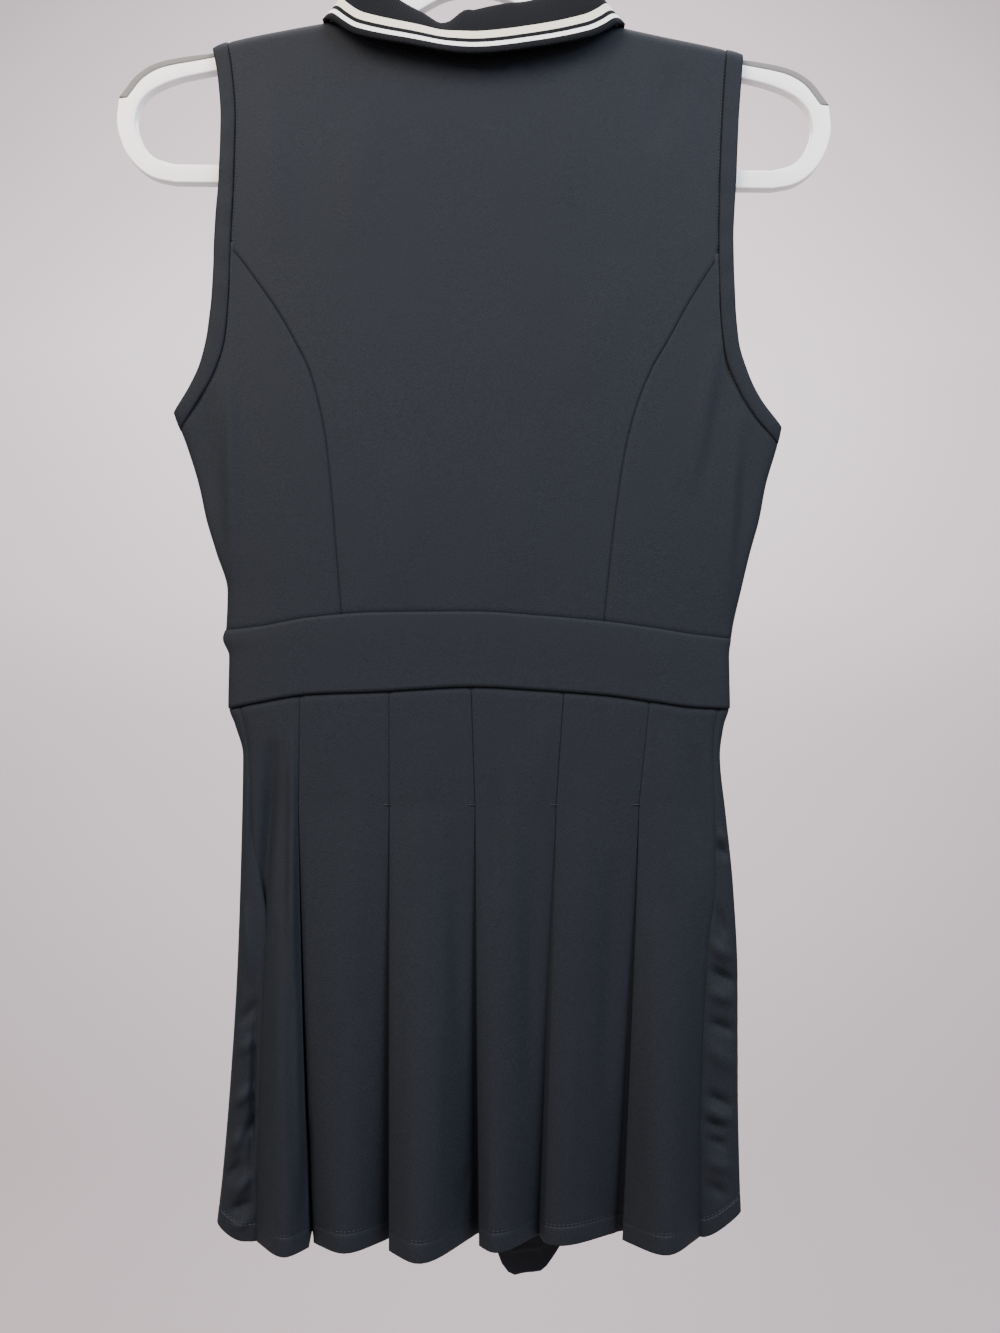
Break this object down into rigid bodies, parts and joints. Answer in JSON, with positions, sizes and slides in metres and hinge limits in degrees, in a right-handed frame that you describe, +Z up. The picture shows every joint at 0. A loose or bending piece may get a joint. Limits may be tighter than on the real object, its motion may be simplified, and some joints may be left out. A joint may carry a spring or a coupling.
{
  "type": "tennis dress on hanger",
  "caption": "Sleeveless knit tennis dress with a striped rib polo collar, princess seams, a shaped waistband and a stitched-down pleated skirt, hanging flat on a plastic hanger",
  "frame": {"origin": "inside top of the hanger's hook, where it rests on a rail", "axes": "+Z up along the hanging dress, +X to the right as seen from the dress's back, +Y through the dress from its back to its front"},
  "size_m": [0.4446, 0.0682, 0.8892],
  "materials": {
    "jersey": "dark charcoal navy stretch jersey, dull with a faint sheen",
    "binding": "the same jersey folded into a binding, with a line of stitches",
    "rib_knit": "black flat rib knit with a white and a cream stripe",
    "hanger_plastic": "white moulded plastic",
    "hanger_pad": "grey matte non-slip strip"
  },
  "bodies": {
    "root": {"bodice_back_center": "jersey", "bodice_back_side_left": "jersey", "bodice_back_side_right": "jersey", "bodice_front": "jersey", "armhole_binding_left": "binding", "armhole_binding_right": "binding", "collar": "rib_knit", "waistband_back": "jersey", "waistband_front": "jersey", "skirt_back": "jersey", "skirt_front": "jersey", "hanger_frame": "hanger_plastic", "hanger_hook": "hanger_plastic", "hanger_pad_left": "hanger_pad", "hanger_pad_right": "hanger_pad"}
  },
  "joints": []
}
